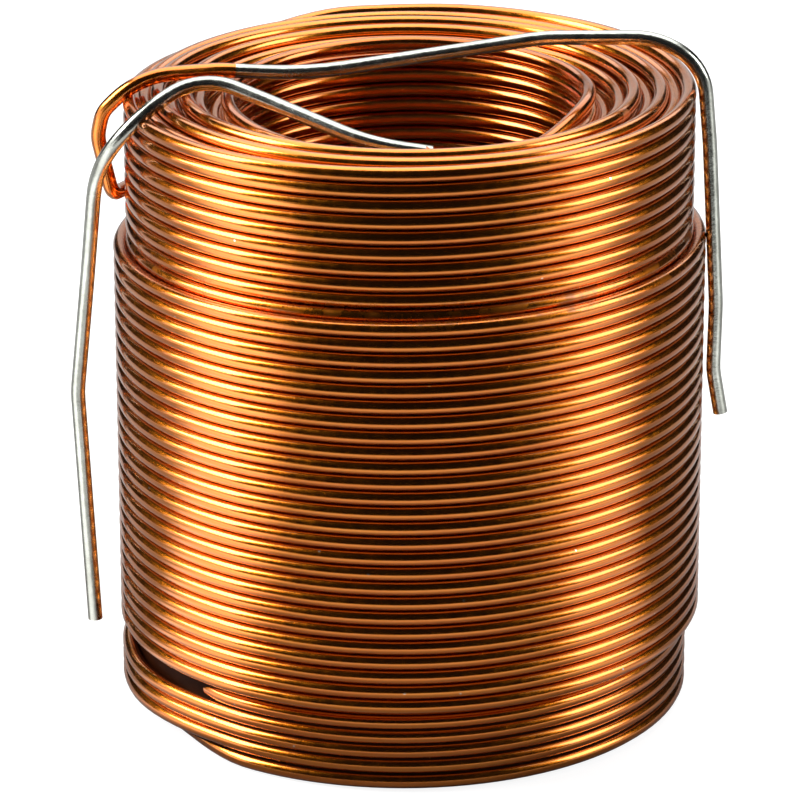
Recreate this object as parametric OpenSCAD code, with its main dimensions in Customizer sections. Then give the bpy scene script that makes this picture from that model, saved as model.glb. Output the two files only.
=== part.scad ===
// Air core inductor: one length of self-bonding enamelled copper wire, wound in layers with
// no former, its two ends stripped, tinned and bent over the top rim.
// Millimetres. The origin is on the coil's axis at the base, +Z up.

/* [Wire] */
// Diameter of the bare copper
copper_d = 1.25; // [0.8:0.05:1.6]
// Thickness of the enamel and bond coat
enamel = 0.025; // [0.015:0.005:0.05]
// Thickness of the tin on the stripped ends
tin = 0.01; // [0.005:0.005:0.02]

/* [Winding] */
// Diameter of the bore that the mandrel leaves
bore_d = 30; // [24:1:40]
// Full layers of turns
layers = 8; // [6:1:10]
// Turns in a full layer
turns = 41; // [34:1:50]
// Gap between neighbouring turns of a layer
turn_gap = 0.05; // [0.02:0.01:0.1]
// How far each full layer stands proud of the nest in the layer beneath
layer_slack = 0.07; // [0.05:0.01:0.12]
// Turns of the last full layer left bare above the cover layer
bare_above = 10; // [9:1:16]
// Turns of the last full layer left bare below the cover layer
bare_below = 5; // [2:1:8]
// Flat that the mandrel and the cheek press into each turn they touch
press_flat = 0.03; // [0.02:0.01:0.04]

/* [Leads] */
// Height of the start lead's tip above the base
start_tip = 6.7; // [4:0.1:12]
// Drop of the finish lead's tip below the rim
finish_drop = 29.8; // [29.4:0.1:32]
// How far the start lead's bow stands out from the winding's side
start_bow = 3.4; // [3:0.1:6]

/* [Hidden] */

wire_d = copper_d + 2 * enamel;
lead_d = copper_d + 2 * tin;
pitch = wire_d + turn_gap;
nest = sqrt(wire_d * wire_d - pitch * pitch / 4);  // radial step of turns that nest in grooves
layer_step = nest + layer_slack;
cover_bed = 0.02;                                  // how far the cover layer beds in the bond coat
bore_r = bore_d / 2;
first_r = bore_r - press_flat + wire_d / 2;
short_layer = 1;                                   // the layer that ends early, beside the innermost
short_by = 1;                                      // turns that it lacks
ride_gap = 0.02;                                   // the next layer rides on its crests instead
ride = wire_d + ride_gap - layer_step;
full_r = first_r + (layers - 1) * layer_step + ride;
cover_r = full_r + nest - cover_bed;
side = full_r + wire_d / 2;
girth = cover_r + wire_d / 2;
base_z = wire_d / 2 - press_flat;                  // centre of the lowest turns
rim = base_z + (turns - 1) * pitch + wire_d / 2;   // crest of the highest turns
cover_turns = turns - bare_above - bare_below;
cover_z = base_z + (bare_below + 0.5) * pitch;     // the cover's turns nest half a pitch up
cover_top = cover_z + (cover_turns - 1) * pitch;
tail_turns = 3;                                    // highest turns, beside the start tail, left unpressed
mandrel_top = base_z + (turns - tail_turns - 0.5) * pitch;
web = 0.2;                                         // half width of the bond that joins a layer's turns
wire_fn = 32;
turn_fn = 96;

// Layers are numbered from 0 at the bore. The innermost starts at the base, and so do the
// outermost full layer and every second one in from it. Those between nest half a pitch up,
// with one turn less, and so does the short layer.
function is_raised(k) = k == short_layer || (k > short_layer && (layers - 1 - k) % 2 == 1);
function layer_r(k) = first_r + k * layer_step + (k > short_layer ? ride : 0);
function layer_z(k) = base_z + (is_raised(k) ? pitch / 2 : 0);
function layer_turns(k) = turns - (is_raised(k) ? 1 : 0) - (k == short_layer ? short_by : 0);
function layer_top(k) = layer_z(k) + (layer_turns(k) - 1) * pitch;

function unit(v) = v / norm(v);

// The point at a radius, an angle from +X and a height
function polar(r, angle, z) = [r * cos(angle), r * sin(angle), z];

// The point at a distance from a toward b
function along(a, b, distance) = a + distance * unit(b - a);

// Start wire: rises out of the innermost layers beside the rim, crosses the bore's front,
// goes over the rim at the left and hangs down the left side. Each point has its bend radius.
start_tail_points = [
    polar(bore_r + 2, -42, rim - 4.1),
    polar(bore_r - 0.9, -69, rim - 1.9)];
start_lead_points = [
    [-3.8, -(bore_r - 1.3), rim - 0.5],
    [-(bore_r + 2), -5.6, rim + 3.7],
    [-side, -12.4, rim - 0.3],
    [-(girth + 0.8), -6, rim - 8.3],
    [-(girth + 1.8), -2.5, rim - 16.3],
    [-(girth + start_bow), -2, rim - 26.3],
    [-(girth + 2.1), -2, start_tip]];
start_tail_bends = [0, 6, 0];
start_lead_bends = [0, 9, 7, 3, 15, 20, 14, 0];
start_edge = along(start_tail_points[1], start_lead_points[0], 3.2);

// Finish wire: leaves the outside at the back left, just above the cover layer, loops up over
// the rim, crosses above the bore and hangs down the right side.
exit_z = cover_top + 3.4;
finish_tail_points = [
    [-(full_r - 3.5), 10, exit_z - 0.3],
    [-(girth + 0.4), 0.6, exit_z],
    [-(girth + 1.8), -0.6, (exit_z + rim) / 2 + 0.6],
    [-(girth + 0.5), -1, rim - 1],
    [-(girth - 2.8), -1.8, rim + 1.1],
    [-(bore_r + 1.5), 1.4, rim + 1.7]];
finish_lead_points = [
    [-8.5, 2.5, rim + 0.6],
    [bore_r + 1, 0.2, rim + 5],
    [girth - 0.8, -1.8, rim + 4],
    [girth + 0.3, -1.5, rim - 5.8],
    [girth + 1.1, -1, rim - 20],
    [girth + 1, -1, rim - 26],
    [girth + 1.8, -1, rim - finish_drop]];
finish_tail_bends = [0, 1.6, 7, 3.5, 5.5, 7, 0];
finish_lead_bends = [0, 20, 20, 7, 15, 15, 6, 0];
finish_edge = along(finish_tail_points[5], finish_lead_points[0], 1.6);

bend_thinning = 0.01;                              // diameter that the wire loses in a bend
bend_run = 0.1;                                    // how far a bend runs on into its straights

// One straight length of wire from a to b
module rod(a, b, d) {
    v = b - a;
    translate(a)
        rotate([0, acos(v.z / norm(v)), atan2(v.y, v.x)])
            cylinder(d = d, h = norm(v), $fn = wire_fn);
}

// One bend of wire at a point, from direction u to direction v, starting a trim before the point
module bend(point, u, v, radius, trim, d) {
    axis = unit(cross(u, v));
    out = cross(u, axis);
    centre = point - trim * u - radius * out;
    run = bend_run / radius * 180 / PI;
    multmatrix([
        [out.x, u.x, axis.x, centre.x],
        [out.y, u.y, axis.y, centre.y],
        [out.z, u.z, axis.z, centre.z],
        [0, 0, 0, 1]])
        rotate([0, 0, -run])
            rotate_extrude(angle = acos(u * v) + 2 * run, $fn = turn_fn)
                translate([radius, 0])
                    circle(d = d - bend_thinning, $fn = wire_fn);
}

// Wire bent through the points: straights joined by bends of the given radii
module bent_wire(points, radii, d) {
    last = len(points) - 1;
    way = [for (i = [0:last - 1]) unit(points[i + 1] - points[i])];
    trim = [for (i = [0:last])
        i == 0 || i == last ? 0 : radii[i] * tan(acos(way[i - 1] * way[i]) / 2)];
    for (i = [0:last - 1])
        rod(points[i] + trim[i] * way[i], points[i + 1] - trim[i + 1] * way[i], d);
    for (i = [1:last - 1])
        bend(points[i], way[i - 1], way[i], radii[i], trim[i], d);
}

// Half section of a layer: the turns that show, by number, and the bond that webs them all
module layer_section(r, z, count, shown) {
    for (j = shown)
        translate([r, z + j * pitch])
            circle(d = wire_d, $fn = wire_fn);
    translate([r - web, z])
        square([2 * web, (count - 1) * pitch]);
}

// Bond between two neighbouring layers, out to the lines between their end turns' centres
module between(r, low, high, next_r, next_low, next_high) {
    polygon([[r, low], [next_r, next_low], [next_r, next_high], [r, high]]);
}

// Half section of the turns. Those sealed in the winding are one with the bond round them.
module turns_section() {
    for (k = [0:layers - 1])
        layer_section(layer_r(k), layer_z(k), layer_turns(k),
            k == 0 ? [0:layer_turns(k) - 1] :
            k < layers - 1 ? concat([0], [for (j = [1:1 + short_by]) layer_turns(k) - j]) :
            concat([for (j = [0:bare_below]) j], [for (j = [turns - bare_above:turns - 1]) j]));
    for (k = [0:layers - 2])
        between(layer_r(k), layer_z(k), min(layer_top(k), layer_top(k + 1) + pitch / 2),
            layer_r(k + 1), layer_z(k + 1), min(layer_top(k + 1), layer_top(k) + pitch / 2));
    layer_section(cover_r, cover_z, cover_turns, [0:cover_turns - 1]);
    between(full_r, cover_z - pitch / 2, cover_top + pitch / 2, cover_r, cover_z, cover_top);
}

// Half section of what the mandrel and the lower cheek kept clear of wire
module mandrel_and_cheek() {
    square([bore_r, mandrel_top]);
    translate([0, -wire_d])
        square([2 * girth, wire_d]);
}

// The turns as one solid of revolution, and the enamelled wire that leaves it at each end
module winding() {
    color("peru") {
        rotate_extrude($fn = turn_fn)
            difference() {
                turns_section();
                mandrel_and_cheek();
            }
        bent_wire(concat(start_tail_points, [start_edge]), start_tail_bends, wire_d);
        bent_wire(concat(finish_tail_points, [finish_edge]), finish_tail_bends, wire_d);
    }
}

// Tinned end of the wire's start
module start_lead() {
    color("silver")
        bent_wire(concat([start_edge], start_lead_points), start_lead_bends, lead_d);
}

// Tinned end of the wire's finish
module finish_lead() {
    color("silver")
        bent_wire(concat([finish_edge], finish_lead_points), finish_lead_bends, lead_d);
}

winding();
start_lead();
finish_lead();
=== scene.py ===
import math

import bpy
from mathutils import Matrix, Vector


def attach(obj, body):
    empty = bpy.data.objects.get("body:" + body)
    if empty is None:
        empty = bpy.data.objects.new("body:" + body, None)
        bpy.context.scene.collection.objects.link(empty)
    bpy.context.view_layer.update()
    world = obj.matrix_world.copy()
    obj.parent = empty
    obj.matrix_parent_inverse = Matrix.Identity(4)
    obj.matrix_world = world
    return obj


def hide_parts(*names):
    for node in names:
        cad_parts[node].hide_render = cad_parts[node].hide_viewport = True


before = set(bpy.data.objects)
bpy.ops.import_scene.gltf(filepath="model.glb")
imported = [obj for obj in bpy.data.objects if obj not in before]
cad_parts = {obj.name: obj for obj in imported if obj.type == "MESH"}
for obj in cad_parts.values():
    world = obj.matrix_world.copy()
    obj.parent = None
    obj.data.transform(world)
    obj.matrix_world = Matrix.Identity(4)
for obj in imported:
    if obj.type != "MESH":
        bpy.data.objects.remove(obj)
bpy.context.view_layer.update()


# ---- Camera ------------------------------------------------------------------------------------
# A long lens a little above the rims, looking straight at the front of the coil, so that the top
# rims, the far wall of the bore and both leads show.
EYE_HEIGHT = 0.16644
EYE_BACK = 0.38498
LOOK_AT = Vector((0, 0, 0.0266))

camera_data = bpy.data.cameras.new("camera")
camera_data.lens = 209.2
camera_data.sensor_width = 36
camera_data.shift_x = -0.0119
camera = bpy.data.objects.new("camera", camera_data)
camera.location = (0, -EYE_BACK, EYE_HEIGHT)
camera.rotation_euler = (LOOK_AT - camera.location).to_track_quat("-Z", "Y").to_euler()
bpy.context.scene.collection.objects.link(camera)
bpy.context.scene.camera = camera


# ---- First layer -------------------------------------------------------------------------------
# Round copper wire under a clear coat of self-bonding enamel, wound hard against a mandrel that
# is then drawn out, so that this layer's own turns are the wall of the bore.
WIRE = 0.0013
PITCH = 0.00135
CLEAR = 0.00001
SIDES = 14
ROUND_EDGE = math.radians(50)
# Painted shade in the grooves: how far past the wire's open face it begins, and over how many
# degrees it fades in.
GROOVE_SHADE_EDGE = 40
GROOVE_SHADE_FADE = 35
BORE_LAYER = 0.01562
BORE_TURNS = 41
FOOT = 0.00065


def select_only(piece):
    """Makes a piece the one that the next operator works on."""
    bpy.ops.object.select_all(action="DESELECT")
    piece.select_set(True)
    bpy.context.view_layer.objects.active = piece


def wind(name, radius, foot, turns, steps, start, spacing=PITCH):
    """Turns of wire that run counter-clockwise from start, in degrees round from the front."""
    bpy.ops.object.select_all(action="DESELECT")
    bpy.ops.mesh.primitive_circle_add(vertices=SIDES, radius=WIRE / 2, fill_type="NOTHING",
                                      location=(radius, 0, foot), rotation=(math.pi / 2, 0, 0))
    layer = bpy.context.object
    layer.name = name
    bpy.ops.object.transform_apply(location=True, rotation=True, scale=True)
    layer.rotation_euler.z = math.radians(start - 90)
    bpy.ops.object.transform_apply(location=False, rotation=True, scale=False)
    screw = layer.modifiers.new("turns", "SCREW")
    screw.axis = "Z"
    screw.angle = 2 * math.pi
    screw.screw_offset = spacing
    screw.iterations = turns
    screw.steps = steps
    screw.render_steps = steps
    bpy.ops.object.modifier_apply(modifier="turns")
    return layer


def lay(layer, radius, foot, steps, path, spacing=PITCH):
    """Moves each station of the wire to the (radius, height) that path gives for it."""
    for i in range(len(layer.data.vertices) // SIDES):
        out, up = path(i)
        for point in layer.data.vertices[i * SIDES:(i + 1) * SIDES]:
            flat = Vector((point.co.x, point.co.y, 0))
            flat *= (flat.length + out - radius) / flat.length
            point.co = (flat.x, flat.y, point.co.z + up - foot - spacing * i / steps)


def close_ends(layer):
    """Caps the wire's two ends and smooths it."""
    select_only(layer)
    bpy.ops.object.mode_set(mode="EDIT")
    bpy.ops.mesh.select_all(action="SELECT")
    bpy.ops.mesh.fill_holes(sides=0)
    bpy.ops.mesh.select_all(action="SELECT")
    bpy.ops.mesh.normals_make_consistent(inside=False)
    bpy.ops.object.mode_set(mode="OBJECT")
    bpy.ops.object.shade_smooth_by_angle(angle=ROUND_EDGE)


def smooth(share):
    """Eases from 0 to 1 as share does."""
    share = min(1.0, max(0.0, share))
    return share * share * (3 - 2 * share)


def mark_groove_shade(layer, faces, sides=SIDES):
    """Stores how deep each point lies between its neighbours, from 0 on a face that is open to 1
    in a groove, which the wire tone uses to paint shade into the grooves. faces(i) gives the first
    and last direction, in degrees up from outward, in which the wire is open at station i."""
    depth = layer.data.attributes.new("groove", "FLOAT", "POINT")
    values = [0.0] * len(layer.data.vertices)
    for i in range(len(layer.data.vertices) // sides):
        group = layer.data.vertices[i * sides:(i + 1) * sides]
        centre = sum((point.co for point in group), Vector()) / sides
        outward = Vector((centre.x, centre.y, 0)).normalized()
        low, high = faces(i)
        for point in group:
            arm = point.co - centre
            side = math.degrees(math.atan2(arm.z, arm.dot(outward)))
            middle = (low + high) / 2
            away = abs((side - middle + 180) % 360 - 180) - (high - low) / 2
            values[point.index] = smooth((away - GROOVE_SHADE_EDGE) / GROOVE_SHADE_FADE)
    depth.data.foreach_set("value", values)


def node(tree, kind, **settings):
    """A node with its settings, or the values of its inputs, as given."""
    made = tree.nodes.new(kind)
    for key, value in settings.items():
        if key in made.inputs:
            made.inputs[key].default_value = value
        else:
            setattr(made, key, value)
    return made


DUST = (0.80, 0.74, 0.66, 1)
DUST_CELLS = 420.0
DUST_SIZE = 0.045
DUST_SHARE = 0.45


def tone_group():
    """Colour, roughness and height that drift along the turns and differ from turn to turn, with a
    colour painted into the grooves as shade and a few specks of dust."""
    group = bpy.data.node_groups.new("wire tone", "ShaderNodeTree")
    for label, kind, value in (("Light", "NodeSocketColor", (0.70, 0.25, 0.06, 1)),
                               ("Deep", "NodeSocketColor", (0.50, 0.14, 0.03, 1)),
                               ("Groove shade", "NodeSocketColor", (0.66, 0.225, 0.014, 1)),
                               ("Smooth", "NodeSocketFloat", 0.17),
                               ("Rough", "NodeSocketFloat", 0.28),
                               ("Along", "NodeSocketFloat", 70.0),
                               ("Across", "NodeSocketFloat", 740.0)):
        socket = group.interface.new_socket(label, in_out="INPUT", socket_type=kind)
        socket.default_value = value
    for label, kind in (("Color", "NodeSocketColor"), ("Roughness", "NodeSocketFloat"),
                        ("Height", "NodeSocketFloat")):
        group.interface.new_socket(label, in_out="OUTPUT", socket_type=kind)
    given = group.nodes.new("NodeGroupInput")
    out = group.nodes.new("NodeGroupOutput")
    place = node(group, "ShaderNodeTexCoord")
    scale = node(group, "ShaderNodeCombineXYZ")
    group.links.new(given.outputs["Along"], scale.inputs["X"])
    group.links.new(given.outputs["Along"], scale.inputs["Y"])
    group.links.new(given.outputs["Across"], scale.inputs["Z"])
    spread = node(group, "ShaderNodeVectorMath", operation="MULTIPLY")
    group.links.new(place.outputs["Object"], spread.inputs[0])
    group.links.new(scale.outputs["Vector"], spread.inputs[1])
    drift = node(group, "ShaderNodeTexNoise", Scale=1.0, Detail=3.0, Roughness=0.6)
    group.links.new(spread.outputs["Vector"], drift.inputs["Vector"])
    span = node(group, "ShaderNodeMapRange")
    span.inputs["From Min"].default_value = 0.3
    span.inputs["From Max"].default_value = 0.7
    group.links.new(drift.outputs["Fac"], span.inputs["Value"])
    blend = node(group, "ShaderNodeMix", data_type="RGBA")
    group.links.new(span.outputs["Result"], blend.inputs["Factor"])
    group.links.new(given.outputs["Deep"], blend.inputs["A"])
    group.links.new(given.outputs["Light"], blend.inputs["B"])
    # Painted shade: where the wire lies deep between its neighbours, the colour turns to the
    # groove colour.
    depth = node(group, "ShaderNodeAttribute", attribute_name="groove")
    shade = node(group, "ShaderNodeMix", data_type="RGBA")
    group.links.new(depth.outputs["Fac"], shade.inputs["Factor"])
    group.links.new(blend.outputs["Result"], shade.inputs["A"])
    group.links.new(given.outputs["Groove shade"], shade.inputs["B"])
    cell = node(group, "ShaderNodeTexVoronoi", Scale=DUST_CELLS)
    group.links.new(place.outputs["Object"], cell.inputs["Vector"])
    near = node(group, "ShaderNodeMath", operation="LESS_THAN")
    near.inputs[1].default_value = DUST_SIZE
    group.links.new(cell.outputs["Distance"], near.inputs[0])
    few = node(group, "ShaderNodeSeparateColor")
    group.links.new(cell.outputs["Color"], few.inputs["Color"])
    chosen = node(group, "ShaderNodeMath", operation="GREATER_THAN")
    chosen.inputs[1].default_value = 1 - DUST_SHARE
    group.links.new(few.outputs["Red"], chosen.inputs[0])
    speck = node(group, "ShaderNodeMath", operation="MULTIPLY")
    group.links.new(near.outputs["Value"], speck.inputs[0])
    group.links.new(chosen.outputs["Value"], speck.inputs[1])
    dusty = node(group, "ShaderNodeMix", data_type="RGBA")
    dusty.inputs["B"].default_value = DUST
    group.links.new(speck.outputs["Value"], dusty.inputs["Factor"])
    group.links.new(shade.outputs["Result"], dusty.inputs["A"])
    group.links.new(dusty.outputs["Result"], out.inputs["Color"])
    fine = node(group, "ShaderNodeTexNoise", Scale=900.0, Detail=4.0, Roughness=0.7)
    group.links.new(place.outputs["Object"], fine.inputs["Vector"])
    rough = node(group, "ShaderNodeMapRange")
    rough.inputs["From Min"].default_value = 0.3
    rough.inputs["From Max"].default_value = 0.75
    group.links.new(given.outputs["Smooth"], rough.inputs["To Min"])
    group.links.new(given.outputs["Rough"], rough.inputs["To Max"])
    group.links.new(fine.outputs["Fac"], rough.inputs["Value"])
    group.links.new(rough.outputs["Result"], out.inputs["Roughness"])
    group.links.new(fine.outputs["Fac"], out.inputs["Height"])
    return group


wire_tone = tone_group()
BLOTCHES = 330.0
RESIN = (0.42, 0.125, 0.012, 1)
RESIN_ROUGH = 0.42
RESIN_HEIGHT = 0.0430
RESIN_REACH = 0.0012
SCRAPED = (0.86, 0.36, 0.14, 1)
SCRAPED_ROUGH = 0.45
SCRAPE_REACH = 0.0022
SCRAPES = ((0.0157, -0.0078, 0.0545), (0.0188, -0.0080, 0.0546))


def strip_mask(tree, place, blotch):
    """A blotchy strip of bond coat left on the turns beside the top of the cover layer."""
    split = node(tree, "ShaderNodeSeparateXYZ")
    tree.links.new(place.outputs["Object"], split.inputs["Vector"])
    off = node(tree, "ShaderNodeMath", operation="SUBTRACT")
    off.inputs[1].default_value = RESIN_HEIGHT
    tree.links.new(split.outputs["Z"], off.inputs[0])
    size = node(tree, "ShaderNodeMath", operation="ABSOLUTE")
    tree.links.new(off.outputs["Value"], size.inputs[0])
    band = node(tree, "ShaderNodeMapRange")
    band.inputs["From Min"].default_value = RESIN_REACH
    band.inputs["From Max"].default_value = RESIN_REACH / 2
    tree.links.new(size.outputs["Value"], band.inputs["Value"])
    patch = node(tree, "ShaderNodeMapRange")
    patch.inputs["From Min"].default_value = 0.48
    patch.inputs["From Max"].default_value = 0.66
    tree.links.new(blotch.outputs["Fac"], patch.inputs["Value"])
    tree.links.new(band.outputs["Result"], patch.inputs["To Max"])
    return patch


def spot_mask(tree, place, blotch, spot):
    """A small ragged spot where the enamel is scraped off."""
    gap = node(tree, "ShaderNodeVectorMath", operation="DISTANCE")
    gap.inputs[1].default_value = spot
    tree.links.new(place.outputs["Object"], gap.inputs[0])
    ragged = node(tree, "ShaderNodeMath", operation="MULTIPLY_ADD")
    ragged.inputs[1].default_value = -SCRAPE_REACH
    tree.links.new(blotch.outputs["Fac"], ragged.inputs[0])
    tree.links.new(gap.outputs["Value"], ragged.inputs[2])
    mask = node(tree, "ShaderNodeMapRange")
    mask.inputs["From Min"].default_value = 0.0001
    mask.inputs["From Max"].default_value = -0.0002
    tree.links.new(ragged.outputs["Value"], mask.inputs["Value"])
    return mask


def enamel(name, light, deep):
    """Enamelled copper: the metal's colour under a clear hard coat, with bond coat left on it in
    blotches and a few scraped spots."""
    material = bpy.data.materials.new(name)
    material.use_nodes = True
    tree = material.node_tree
    shader = tree.nodes["Principled BSDF"]
    shader.inputs["Metallic"].default_value = 1.0
    shader.inputs["Coat Weight"].default_value = 1.0
    shader.inputs["Coat Roughness"].default_value = 0.10
    shader.inputs["Coat IOR"].default_value = 1.52
    tone = tree.nodes.new("ShaderNodeGroup")
    tone.node_tree = wire_tone
    tone.inputs["Light"].default_value = light
    tone.inputs["Deep"].default_value = deep
    place = node(tree, "ShaderNodeTexCoord")
    blotch = node(tree, "ShaderNodeTexNoise", Scale=BLOTCHES, Detail=4.0, Roughness=0.65)
    tree.links.new(place.outputs["Object"], blotch.inputs["Vector"])
    strip = strip_mask(tree, place, blotch)
    film = node(tree, "ShaderNodeMix", data_type="RGBA")
    film.inputs["B"].default_value = RESIN
    tree.links.new(strip.outputs["Result"], film.inputs["Factor"])
    tree.links.new(tone.outputs["Color"], film.inputs["A"])
    dull = node(tree, "ShaderNodeMix", data_type="FLOAT")
    dull.inputs["B"].default_value = RESIN_ROUGH
    tree.links.new(strip.outputs["Result"], dull.inputs["Factor"])
    tree.links.new(tone.outputs["Roughness"], dull.inputs["A"])
    colour = film.outputs["Result"]
    rough = dull.outputs["Result"]
    for spot in SCRAPES:
        scraped = spot_mask(tree, place, blotch, spot)
        metal = node(tree, "ShaderNodeMix", data_type="RGBA")
        metal.inputs["B"].default_value = SCRAPED
        tree.links.new(scraped.outputs["Result"], metal.inputs["Factor"])
        tree.links.new(colour, metal.inputs["A"])
        colour = metal.outputs["Result"]
        matt = node(tree, "ShaderNodeMix", data_type="FLOAT")
        matt.inputs["B"].default_value = SCRAPED_ROUGH
        tree.links.new(scraped.outputs["Result"], matt.inputs["Factor"])
        tree.links.new(rough, matt.inputs["A"])
        rough = matt.outputs["Result"]
    tree.links.new(colour, shader.inputs["Base Color"])
    tree.links.new(rough, shader.inputs["Roughness"])
    bump = node(tree, "ShaderNodeBump", Strength=0.25, Distance=0.00005)
    tree.links.new(tone.outputs["Height"], bump.inputs["Height"])
    tree.links.new(bump.outputs["Normal"], shader.inputs["Normal"])
    return material


def hand_over(piece, material, stands_for):
    """Gives a piece its material, hangs it on the root body, and hides the part of the node that
    it stands for.
    """
    piece.data.materials.clear()
    piece.data.materials.append(material)
    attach(piece, "root")
    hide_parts(stands_for)


BORE_STEPS = 96
BORE_START = 5.8
BORE_RIM = 0.05330
BORE_LEAN = 0.0002
BORE_DROP_FROM = BORE_STEPS // 3
BORE_OPEN_TURNS = 1.2
BORE_BLUR = 3
TAIL_STATIONS = [
    # degrees round from the front, radius and height of the wire's centre
    (5.8, 0.01343, 0.05340), (12, 0.01360, 0.05310), (20, 0.01385, 0.05275),
    (34, 0.01415, 0.05240), (47, 0.01425, 0.05250), (57, 0.01430, 0.05300),
    (66, 0.01450, 0.05370), (76, 0.01500, 0.05420), (88, 0.01550, 0.05450),
    (100, 0.01562, 0.05455), (180, 0.01562, 0.05485), (270, 0.01562, 0.05430),
    (330, 0.01562, 0.05350), (365.8, 0.01562, 0.05325),
]


def between(stations, around):
    """The radius and height at an angle, in a straight line from each station to the next."""
    for (a0, r0, z0), (a1, r1, z1) in zip(stations, stations[1:]):
        if around <= a1:
            share = (around - a0) / (a1 - a0)
            return r0 + (r1 - r0) * share, z0 + (z1 - z0) * share
    return stations[-1][1:]


def blur(values, reach):
    """Each value averaged with its neighbours on both sides."""
    near = [values[max(0, i - reach):i + reach + 1] for i in range(len(values))]
    return [sum(part) / len(part) for part in near]


# The wire starts at its end in the rim, and each turn after the first lies under the one before.
bore_count = BORE_TURNS * BORE_STEPS + 1
bore_reach = []
bore_height = []
for i in range(bore_count):
    reach, height = between(TAIL_STATIONS, BORE_START + 360 * i / BORE_STEPS)
    bore_reach.append(reach)
    if i > BORE_STEPS:
        over = i - BORE_STEPS
        level = BORE_RIM + BORE_LEAN * (1 - math.cos(2 * math.pi * i / BORE_STEPS)) / 2
        height = level - PITCH * max(0, over - BORE_DROP_FROM) / BORE_STEPS
        gap = BORE_LAYER - bore_reach[over]
        if gap < WIRE:
            height = min(height, bore_height[over] - math.sqrt(WIRE ** 2 - gap ** 2) - CLEAR)
        height = max(FOOT, height)
    bore_height.append(height)
bore_reach = blur(bore_reach, BORE_BLUR)
bore_height[1:] = blur(bore_height, BORE_BLUR)[1:]


def bore_faces(i):
    """The wire's end is open above and inside, and the turns below it only to the bore."""
    if i < BORE_OPEN_TURNS * BORE_STEPS:
        return 90, 200
    return 180, 180


# A darker copy of the enamel for the wire that lines the bore: painted shade for the inside of the
# bore.
shaded_bore_copper = enamel("shaded_bore_copper", (0.58, 0.155, 0.006, 1), (0.46, 0.105, 0.003, 1))
first_layer = wind("first_layer", BORE_LAYER, FOOT, BORE_TURNS, BORE_STEPS, BORE_START,
                   spacing=-PITCH)
lay(first_layer, BORE_LAYER, FOOT, BORE_STEPS, lambda i: (bore_reach[i], bore_height[i]),
    spacing=-PITCH)
mark_groove_shade(first_layer, bore_faces)
close_ends(first_layer)
hand_over(first_layer, shaded_bore_copper, "winding")


# ---- Inner layers ------------------------------------------------------------------------------
# The layers between the bore and the outside, of the same enamelled wire, each wound over the
# last. Only their end turns show, so the lowest and the highest two turns of each are laid.
INNER_STEPS = 112
INNER_SIDES = 12
inner_layers = [
    # radius, height of the top turn at the front and at the back, height of the lowest turn
    (0.01680, 0.05259, 0.05300, 0.00200),
    (0.01812, 0.05380, 0.05420, 0.00130),
    (0.01930, 0.05488, 0.05495, 0.00065),
    (0.02048, 0.05385, 0.05420, 0.00130),
    (0.02166, 0.05486, 0.05505, 0.00065),
    (0.02285, 0.05385, 0.05515, 0.00130),
]
copper = enamel("enamelled_copper", (0.76, 0.228, 0.009, 1), (0.66, 0.162, 0.004, 1))


def end_turn(name, radius, front, back, faces):
    """One turn at an end of a layer, its height running from front to back."""
    bpy.ops.object.select_all(action="DESELECT")
    bpy.ops.mesh.primitive_torus_add(major_segments=INNER_STEPS, minor_segments=INNER_SIDES,
                                     major_radius=radius, minor_radius=WIRE / 2)
    turn = bpy.context.object
    turn.name = name
    bpy.ops.object.transform_apply(location=True, rotation=True, scale=True)
    for point in turn.data.vertices:
        around = math.atan2(point.co.x, -point.co.y)
        point.co.z += front + (back - front) * (1 - math.cos(around)) / 2
    mark_groove_shade(turn, faces, INNER_SIDES)
    bpy.ops.object.shade_smooth_by_angle(angle=ROUND_EDGE)
    hand_over(turn, copper, "winding")


for number, (radius, front, back, low) in enumerate(inner_layers, start=2):
    end_turn(f"layer_{number}_top", radius, front, back, lambda i: (90, 90))
    end_turn(f"layer_{number}_below_top", radius, front - PITCH, back - PITCH, lambda i: (90, 90))
    end_turn(f"layer_{number}_bottom", radius, low, low, lambda i: (-90, -90))


# ---- Bond --------------------------------------------------------------------------------------
# What fills the winding between the turns: the baked bond coat that holds them to each other,
# painted nearly black as the shade deep between the turns. It shows only as the dark bottoms of
# the grooves.
BOND_STEPS = 96
MERGE = 0.00001
bond_profile = [
    # radius and height of each corner
    (0.01580, 0.0012), (0.02420, 0.0012), (0.02430, 0.0019), (0.02430, 0.0066),
    (0.02400, 0.0071), (0.02400, 0.0543), (0.01840, 0.0536),
    (0.01790, 0.0520), (0.01620, 0.0515), (0.01580, 0.0525),
]


def bond_and_shade_material():
    """Baked bond coat: dark brown and blotchy, nearly black as painted shade."""
    material = bpy.data.materials.new("bond_coat_and_shade")
    material.use_nodes = True
    tree = material.node_tree
    shader = tree.nodes["Principled BSDF"]
    shader.inputs["Roughness"].default_value = 0.5
    shader.inputs["Specular IOR Level"].default_value = 0.03
    place = node(tree, "ShaderNodeTexCoord")
    patch = node(tree, "ShaderNodeTexNoise", Scale=500.0, Detail=3.0)
    tree.links.new(place.outputs["Object"], patch.inputs["Vector"])
    ramp = tree.nodes.new("ShaderNodeValToRGB")
    ramp.color_ramp.elements[0].color = (0.008, 0.002, 0.001, 1)
    ramp.color_ramp.elements[1].color = (0.034, 0.008, 0.002, 1)
    tree.links.new(patch.outputs["Fac"], ramp.inputs["Fac"])
    tree.links.new(ramp.outputs["Color"], shader.inputs["Base Color"])
    return material


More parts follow.
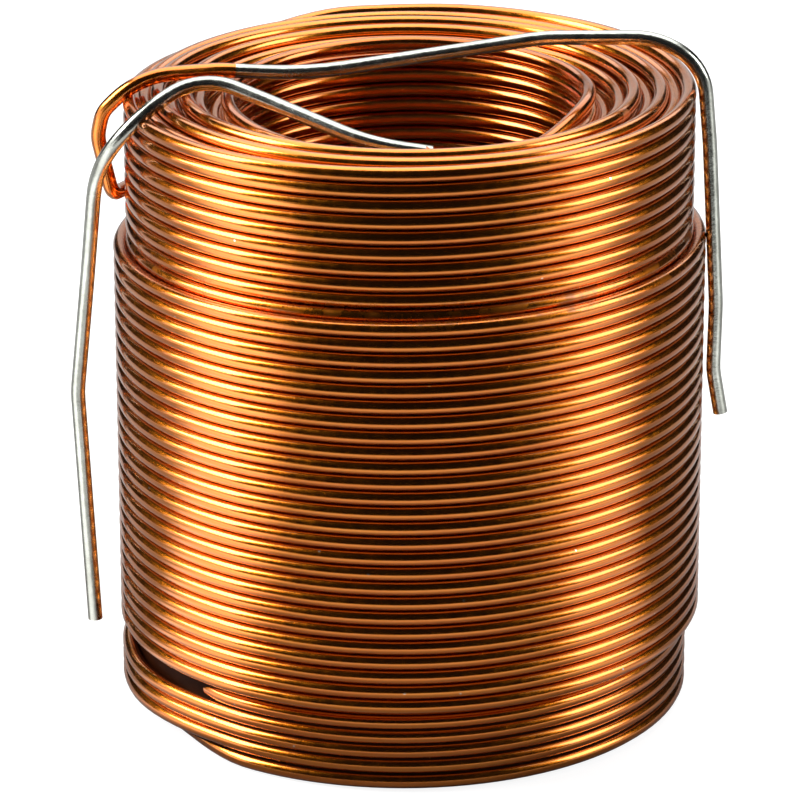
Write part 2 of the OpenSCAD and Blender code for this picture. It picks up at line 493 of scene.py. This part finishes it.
bpy.ops.object.select_all(action="DESELECT")
bpy.ops.mesh.primitive_circle_add(vertices=len(bond_profile), radius=0.001, fill_type="NOTHING")
bond = bpy.context.object
bond.name = "bond"
for point, (radius, height) in zip(bond.data.vertices, bond_profile):
    point.co = (radius, 0, height)
spin = bond.modifiers.new("round", "SCREW")
spin.axis = "Z"
spin.angle = 2 * math.pi
spin.screw_offset = 0
spin.iterations = 1
spin.steps = BOND_STEPS
spin.render_steps = BOND_STEPS
spin.use_merge_vertices = True
bpy.ops.object.modifier_apply(modifier="round")
bpy.ops.object.mode_set(mode="EDIT")
bpy.ops.mesh.select_all(action="SELECT")
bpy.ops.mesh.remove_doubles(threshold=MERGE)
bpy.ops.mesh.normals_make_consistent(inside=False)
bpy.ops.object.mode_set(mode="OBJECT")
bpy.ops.object.shade_smooth_by_angle(angle=math.radians(30))
hand_over(bond, bond_and_shade_material(), "winding")


# ---- Last full layer ---------------------------------------------------------------------------
# The eighth layer, from rim to rim. Its lowest turn comes out from under the layer before it at
# the front left, lies level on the table, and the rest climb from there at one pitch a turn.
FULL_LAYER = 0.0240261
FULL_TURNS = 41
FULL_STEPS = 112
FULL_START = -75
FULL_LAST = round((40 + 268 / 360) * FULL_STEPS)
FULL_RISE = 0.000733
FULL_PITCH = 0.0013461
FULL_LEAN = 0.00012
FULL_BLUR = FULL_STEPS // 16
TUCK = 0.0012
# Places round the layer are in degrees from the front, and count on from turn to turn. A pair is
# where a change begins, and how far round it takes.
LIFT_TURNS = 1.5
CLIMB_FROM = 25
ENTRY = (-62, 27)
ENTRY_DEPTH = 0.0019
BULGE = 0.0010
BULGE_SIDE = -105
BULGE_HALF = 65
BULGE_FADE = 35
BULGE_END = (1342, 20)
SLIP = 0.00125
SLIP_IN = (1352, 14)
SLIP_OUT = (1380, 20)
PUSHED_UP = 0.0005
PUSH_START = (1300, 40)
PUSH_END = (1350, 20)
TOP_TURN = 360 * 40
TOP_LIFT = 0.00018
TOP_LIFT_START = (TOP_TURN + 95, 40)
TOP_LIFT_END = (TOP_TURN + 165, 25)
END_RUN = 0.09
END_INWARD = 0.6


def bedded(foot, rise, count):
    """Heights of turns that lie level at the foot and rest each on the one below."""
    height = []
    for i in range(count):
        low = foot if i < FULL_STEPS else height[i - FULL_STEPS] + WIRE + CLEAR
        lift = (rise - foot) * smooth(i / (LIFT_TURNS * FULL_STEPS))
        climb = FULL_PITCH * max(0, i - FULL_STEPS * CLIMB_FROM / 360) / FULL_STEPS
        height.append(max(foot + lift + climb, low))
    return blur(height, FULL_BLUR)


full_heights = bedded(FOOT, FULL_RISE, FULL_TURNS * FULL_STEPS + 1)


def past(around, place):
    """How far a change has gone at a place round the layer, from 0 to 1."""
    begins, takes = place
    return smooth((around - begins) / takes)


def full_path(i):
    """It comes out from inside at the front left, where the lowest turns stand out, dips once
    under the cover layer's foot, and goes back in under the rim at its end."""
    around = FULL_START + 360 * i / FULL_STEPS
    side = (around - BULGE_SIDE + 180) % 360 - 180
    out = FULL_LAYER - ENTRY_DEPTH * (1 - past(around, ENTRY))
    out += BULGE * smooth((BULGE_HALF - abs(side)) / BULGE_FADE) * (1 - past(around, BULGE_END))
    out -= SLIP * (past(around, SLIP_IN) - past(around, SLIP_OUT))
    up = full_heights[i]
    up += PUSHED_UP * (past(around, PUSH_START) - past(around, PUSH_END))
    up += FULL_LEAN * math.sin(math.radians(around)) * smooth(i / (2 * FULL_STEPS) - 0.5)
    up += TOP_LIFT * (past(around, TOP_LIFT_START) - past(around, TOP_LIFT_END))
    if i > FULL_LAST:
        over = smooth((i - FULL_LAST) / (FULL_STEPS * END_RUN))
        up = min(up, full_heights[FULL_LAST]) - TUCK * over
        out -= TUCK * END_INWARD * over
    return out, up


def full_faces(i):
    """Only the highest turn is open above."""
    return (0, 90) if i > FULL_LAST - FULL_STEPS else (0, 0)


full_layer = wind("full_layer", FULL_LAYER, FOOT, FULL_TURNS, FULL_STEPS, FULL_START)
lay(full_layer, FULL_LAYER, FOOT, FULL_STEPS, full_path)
mark_groove_shade(full_layer, full_faces)
close_ends(full_layer)
hand_over(full_layer, copper, "winding")


# ---- Cover layer -------------------------------------------------------------------------------
# A ninth layer over the middle of the winding. Each of its turns is bedded in the groove between
# two turns of the layer below.
COVER_LAYER = 0.0251172
COVER_TURNS = 27
COVER_START = -160
COVER_FOOT = 0.008225 + PITCH * COVER_START / 360
COVER_PITCH = 0.0013444
COVER_LEAN = 0.00009
COVER_LEAVES = 240
COVER_LAST = round((25 + (COVER_LEAVES - COVER_START) / 360) * FULL_STEPS)
COVER_RUN = 0.12
LEAVE_RUN = 0.12
LEAVE_EARLY = 0.08
LEAVE_OUT = 0.00030
LEAVE_UP = 0.00190


def cover_path(i):
    """It comes up out of the layer below, and leaves upwards at the back left."""
    out = COVER_LAYER - TUCK * (1 - smooth(i / (FULL_STEPS * COVER_RUN)))
    leaving = smooth((i - COVER_LAST + FULL_STEPS * LEAVE_EARLY) / (FULL_STEPS * LEAVE_RUN))
    lean = COVER_LEAN * math.sin(math.radians(COVER_START + 360 * i / FULL_STEPS))
    up = COVER_FOOT + COVER_PITCH * i / FULL_STEPS + lean
    return out + LEAVE_OUT * leaving, up + LEAVE_UP * leaving


def cover_faces(i):
    """The lowest turn is open below, and the highest above."""
    if i < FULL_STEPS:
        return -90, 0
    return (0, 90) if i > COVER_LAST - FULL_STEPS else (0, 0)


def cut_back(layer, last):
    """Takes off the wire beyond a station."""
    select_only(layer)
    for point in layer.data.vertices:
        point.select = point.index >= (last + 1) * SIDES
    bpy.ops.object.mode_set(mode="EDIT")
    bpy.ops.mesh.delete(type="VERT")
    bpy.ops.object.mode_set(mode="OBJECT")


cover_layer = wind("cover_layer", COVER_LAYER, COVER_FOOT, COVER_TURNS, FULL_STEPS, COVER_START)
cut_back(cover_layer, COVER_LAST)
lay(cover_layer, COVER_LAYER, COVER_FOOT, FULL_STEPS, cover_path)
mark_groove_shade(cover_layer, cover_faces)
close_ends(cover_layer)
hand_over(cover_layer, copper, "winding")


# ---- Start lead --------------------------------------------------------------------------------
# The inner end of the wire. It comes up inside the rim, crosses it to the left and is bent down
# the outside to the foot of the coil. Its enamel is stripped and the copper tinned beyond the rim.
LEAD = 0.00127
LEAD_ROUND = 5
BEND_STEP = 7


def mm(*point):
    """A place given in millimetres."""
    return Vector(point) * 0.001


def round_bends(corners):
    """The route through the corners, each given its bend radius, as a close row of points."""
    points = [corners[0][0]]
    for before, (corner, radius), after in zip(corners, corners[1:], corners[2:]):
        away = (before[0] - corner).normalized()
        on = (after[0] - corner).normalized()
        turn = math.pi - away.angle(on)
        reach = radius * math.tan(turn / 2)
        centre = corner + (away + on).normalized() * (radius / math.cos(turn / 2))
        first = corner + away * reach - centre
        axis = first.cross(corner + on * reach - centre).normalized()
        steps = max(2, math.ceil(math.degrees(turn) / BEND_STEP))
        for i in range(steps + 1):
            angle = turn * i / steps
            points.append(centre + first * math.cos(angle) + axis.cross(first) * math.sin(angle))
    points.append(corners[-1][0])
    return points


def bend_wire(name, corners, diameter):
    """A length of round wire along its route, its two ends cut square."""
    curve = bpy.data.curves.new(name, "CURVE")
    curve.dimensions = "3D"
    curve.bevel_depth = diameter / 2
    curve.bevel_resolution = LEAD_ROUND
    curve.use_fill_caps = True
    route = round_bends(corners)
    spline = curve.splines.new("POLY")
    spline.points.add(len(route) - 1)
    for point, place in zip(spline.points, route):
        point.co = (*place, 1)
    wire = bpy.data.objects.new(name, curve)
    bpy.context.scene.collection.objects.link(wire)
    select_only(wire)
    bpy.ops.object.convert(target="MESH")
    wire = bpy.context.object
    bpy.ops.object.mode_set(mode="EDIT")
    bpy.ops.mesh.select_all(action="SELECT")
    bpy.ops.mesh.remove_doubles(threshold=MERGE)
    bpy.ops.mesh.normals_make_consistent(inside=False)
    bpy.ops.object.mode_set(mode="OBJECT")
    bpy.ops.object.shade_smooth_by_angle(angle=ROUND_EDGE)
    return wire


start_tin_line = mm(1.35, -13.36, 53.43)
start_lead_route = [
    # each corner and the radius that the wire is bent to there
    (start_tin_line + mm(0.5, 0.05, -0.09), 0),
    (mm(-3.26, -13.70, 54.24), 0.009),
    (mm(-11.52, -9.00, 56.42), 0.012),
    (mm(-17.70, -6.00, 58.11), 0.005),
    (mm(-24.63, -10.40, 54.42), 0.007),
    (mm(-26.84, -6.00, 48.64), 0.010),
    (mm(-27.93, -2.50, 38.71), 0.020),
    (mm(-29.05, -2.00, 28.13), 0.009),
    (mm(-28.00, -2.00, 6.65), 0),
]


def tin_material():
    """Dipped tin: bright and slightly pitted."""
    material = bpy.data.materials.new("tinned_copper")
    material.use_nodes = True
    tree = material.node_tree
    shader = tree.nodes["Principled BSDF"]
    shader.inputs["Metallic"].default_value = 1.0
    tone = tree.nodes.new("ShaderNodeGroup")
    tone.node_tree = wire_tone
    tone.inputs["Light"].default_value = (0.62, 0.64, 0.58, 1)
    tone.inputs["Deep"].default_value = (0.44, 0.45, 0.40, 1)
    tone.inputs["Smooth"].default_value = 0.18
    tone.inputs["Rough"].default_value = 0.30
    tone.inputs["Along"].default_value = 400.0
    tone.inputs["Across"].default_value = 400.0
    tree.links.new(tone.outputs["Color"], shader.inputs["Base Color"])
    tree.links.new(tone.outputs["Roughness"], shader.inputs["Roughness"])
    bump = node(tree, "ShaderNodeBump", Strength=0.4, Distance=0.00008)
    tree.links.new(tone.outputs["Height"], bump.inputs["Height"])
    tree.links.new(bump.outputs["Normal"], shader.inputs["Normal"])
    return material


tin = tin_material()
start_lead = bend_wire("start_lead", start_lead_route, LEAD)
hand_over(start_lead, tin, "start_lead")


# ---- Finish lead -------------------------------------------------------------------------------
# The outer end of the wire. It leaves the top of the cover layer at the back left, is bent up
# over the rim, across the bore and down the right side, and is tinned from the bore onwards.
finish_tin_line = mm(-15.05, 1.62, 56.23)
finish_tail_route = [
    # from inside the end of the cover layer's wire
    (mm(-21.43, 13.51, 44.00), 0),
    (mm(-21.62, 13.21, 44.05), 0.0025),
    (mm(-25.80, 0.60, 45.38), 0.0016),
    (mm(-26.90, -0.60, 51.00), 0.004),
    (mm(-26.40, -1.00, 53.28), 0.0030),
    (mm(-23.18, -1.80, 56.72), 0.0055),
    (mm(-16.52, 1.40, 56.38), 0.007),
    (finish_tin_line, 0),
]
finish_lead_route = [
    (finish_tin_line, 0),
    (mm(-8.95, 2.50, 55.69), 0.020),
    (mm(11.53, 0.20, 59.56), 0.016),
    (mm(20.99, -1.20, 60.00), 0.007),
    (mm(25.16, -1.80, 57.76), 0.0049),
    (mm(25.84, -1.50, 50.69), 0.015),
    (mm(26.72, -1.00, 35.91), 0.015),
    (mm(26.61, -1.00, 29.83), 0.006),
    (mm(27.33, -1.00, 25.84), 0),
]
finish_tail = bend_wire("finish_tail", finish_tail_route, WIRE)
hand_over(finish_tail, copper, "winding")
finish_lead = bend_wire("finish_lead", finish_lead_route, LEAD)
hand_over(finish_lead, tin, "finish_lead")


# ---- Floor, backdrop and lamps -----------------------------------------------------------------
# A table under a white sheet with painted shade in bands in front of, next to and behind the coil,
# and a painted glow beside the coil that only reflections see; a tall soft box on each side with a
# pale board behind it that glows only in reflections, the left one brighter, a dim glowing board
# far behind, and two soft boxes overhead. Lamps and boards don't show in any view.
TABLE_RADIUS = 1.2
SHEET_PAINT = 0.72
SHEET_SEEN = 0.90
# each band of painted shade across the sheet: where it begins, where it is full, front to back,
# and its paint
SHEET_SHADE = ((-0.090, -0.110, 0.02), (-0.055, -0.030, 0.25), (0.0, 0.06, 0.36))
# each wedge of painted glow that only reflections see: its middle and half width in degrees round
# from the front, and its strength
SHEET_GLOW = ((-67, 19, 1.6), (66, 17, 0.7))
WEDGE_FADE = 6
WEDGE_NEAR = 0.026
WEDGE_FAR = 0.042


def white_paint(name, paint, seen, mirrored):
    """Matt paint that adds a glow of its own for the camera, and another for what shiny metal
    reflects. Gives the material, and the socket that holds the second glow."""
    material = bpy.data.materials.new(name)
    material.use_nodes = True
    tree = material.node_tree
    shader = tree.nodes["Principled BSDF"]
    shader.inputs["Base Color"].default_value = (paint, paint, paint, 1)
    shader.inputs["Roughness"].default_value = 0.9
    shader.inputs["Specular IOR Level"].default_value = 0.0
    shader.inputs["Emission Color"].default_value = (1, 1, 1, 1)
    path = tree.nodes.new("ShaderNodeLightPath")
    either = node(tree, "ShaderNodeMath", operation="MAXIMUM")
    tree.links.new(path.outputs["Is Glossy Ray"], either.inputs[0])
    tree.links.new(path.outputs["Is Transmission Ray"], either.inputs[1])
    mirror = node(tree, "ShaderNodeMath", operation="MULTIPLY")
    mirror.inputs[1].default_value = mirrored
    tree.links.new(either.outputs["Value"], mirror.inputs[0])
    level = node(tree, "ShaderNodeMath", operation="MULTIPLY_ADD")
    level.inputs[1].default_value = seen
    tree.links.new(path.outputs["Is Camera Ray"], level.inputs[0])
    tree.links.new(mirror.outputs["Value"], level.inputs[2])
    tree.links.new(level.outputs["Value"], shader.inputs["Emission Strength"])
    return material, mirror.inputs[1]


def shade_bands(tree, depth, bands, paint):
    """The sheet's paint, which turns to each band's grey where that band lies: painted shade in
    front of, next to and behind the coil.
    """
    paints = None
    for begins, full, grey in bands:
        share = node(tree, "ShaderNodeMapRange")
        share.inputs["From Min"].default_value = begins
        share.inputs["From Max"].default_value = full
        tree.links.new(depth, share.inputs["Value"])
        banded = node(tree, "ShaderNodeMix", data_type="RGBA")
        banded.inputs["A"].default_value = (paint, paint, paint, 1)
        banded.inputs["B"].default_value = (grey, grey, grey, 1)
        tree.links.new(share.outputs["Result"], banded.inputs["Factor"])
        if paints is not None:
            tree.links.new(paints, banded.inputs["A"])
        paints = banded.outputs["Result"]
    return paints


def painted_glow_wedges(tree, place, split, wedges):
    """How strongly the sheet glows beside the coil in each of the wedges: a painted glow that only
    reflections see.
    """
    ahead = node(tree, "ShaderNodeMath", operation="MULTIPLY")
    ahead.inputs[1].default_value = -1.0
    tree.links.new(split.outputs["Y"], ahead.inputs[0])
    around = node(tree, "ShaderNodeMath", operation="ARCTAN2")
    tree.links.new(split.outputs["X"], around.inputs[0])
    tree.links.new(ahead.outputs["Value"], around.inputs[1])
    reach = node(tree, "ShaderNodeVectorMath", operation="LENGTH")
    tree.links.new(place.outputs["Object"], reach.inputs[0])
    clear = node(tree, "ShaderNodeMapRange")
    clear.inputs["From Min"].default_value = WEDGE_NEAR
    clear.inputs["From Max"].default_value = WEDGE_FAR
    tree.links.new(reach.outputs["Value"], clear.inputs["Value"])
    glow = None
    for middle, half, strength in wedges:
        off = node(tree, "ShaderNodeMath", operation="SUBTRACT")
        off.inputs[1].default_value = math.radians(middle)
        tree.links.new(around.outputs["Value"], off.inputs[0])
        size = node(tree, "ShaderNodeMath", operation="ABSOLUTE")
        tree.links.new(off.outputs["Value"], size.inputs[0])
        share = node(tree, "ShaderNodeMapRange")
        share.inputs["From Min"].default_value = math.radians(half + WEDGE_FADE)
        share.inputs["From Max"].default_value = math.radians(half - WEDGE_FADE)
        share.inputs["To Max"].default_value = strength
        tree.links.new(size.outputs["Value"], share.inputs["Value"])
        total = node(tree, "ShaderNodeMath", operation="MULTIPLY_ADD")
        total.inputs[2].default_value = 0.0
        tree.links.new(share.outputs["Result"], total.inputs[0])
        tree.links.new(clear.outputs["Result"], total.inputs[1])
        if glow is not None:
            tree.links.new(glow, total.inputs[2])
        glow = total.outputs["Value"]
    return glow


def sheet_material():
    """The table's white sheet, with bands of painted shade and wedges of painted glow that only
    reflections see.
    """
    material, mirrored = white_paint("white_sheet", SHEET_PAINT, SHEET_SEEN, 0.0)
    tree = material.node_tree
    place = node(tree, "ShaderNodeTexCoord")
    split = node(tree, "ShaderNodeSeparateXYZ")
    tree.links.new(place.outputs["Object"], split.inputs["Vector"])
    colour = shade_bands(tree, split.outputs["Y"], SHEET_SHADE, SHEET_PAINT)
    tree.links.new(colour, tree.nodes["Principled BSDF"].inputs["Base Color"])
    tree.links.new(painted_glow_wedges(tree, place, split, SHEET_GLOW), mirrored)
    return material


bpy.ops.object.select_all(action="DESELECT")
bpy.ops.mesh.primitive_circle_add(vertices=96, radius=TABLE_RADIUS, fill_type="NGON")
table = bpy.context.object
table.name = "floor"
table.data.materials.append(sheet_material())

# Boards hidden from the camera that glow only in what shiny metal reflects: painted light beside
# and behind the coil.
BOARD_PAINT = 0.3
boards = (
    # name, middle, turn about the vertical in degrees, width, height, strength
    ("backdrop", (0, 1.0, 0.22), 0, 0.62, 0.44, 0.45),
    ("left_board", (-0.56, -0.035, 0.48), 90, 0.37, 0.96, 1.4),
    ("right_board", (0.56, -0.085, 0.48), 90, 0.35, 0.96, 0.5),
)
for name, middle, turn, width, tall, strength in boards:
    bpy.ops.object.select_all(action="DESELECT")
    bpy.ops.mesh.primitive_plane_add(size=1.0, location=middle,
                                     rotation=(math.pi / 2, 0, math.radians(turn)))
    board = bpy.context.object
    board.name = name
    board.scale = (width, tall, 1)
    bpy.ops.object.transform_apply(location=True, rotation=True, scale=True)
    board.data.materials.append(white_paint(name, BOARD_PAINT, 0.0, strength)[0])
    board.visible_camera = False

lamps = (
    # name, place, where it points, radiance, width, height
    ("left_box", (-0.50, -0.035, 0.41), (0, -0.035, 0.41), 10.5, 0.30, 0.44),
    ("right_box", (0.50, -0.085, 0.31), (0, -0.085, 0.31), 4.2, 0.27, 0.36),
    ("top_box", (0.0, 0.194, 0.779), (0, 0, 0.055), 2.7, 1.00, 0.70),
    ("back_box", (0.0, 0.63, 0.548), (0, 0, 0.055), 1.7, 0.90, 0.36),
)
for name, place, target, radiance, width, tall in lamps:
    light = bpy.data.lights.new(name, "AREA")
    light.shape = "RECTANGLE"
    light.size = width
    light.size_y = tall
    light.energy = radiance * math.pi * width * tall
    lamp = bpy.data.objects.new(name, light)
    lamp.location = place
    lamp.rotation_euler = (Vector(target) - lamp.location).to_track_quat("-Z", "Y").to_euler()
    lamp.visible_camera = False
    bpy.context.scene.collection.objects.link(lamp)

world = bpy.data.worlds.new("room")
world.use_nodes = True
world.node_tree.nodes["Background"].inputs["Color"].default_value = (1, 1, 1, 1)
world.node_tree.nodes["Background"].inputs["Strength"].default_value = 0.01
bpy.context.scene.world = world
bpy.context.scene.view_settings.view_transform = "Standard"
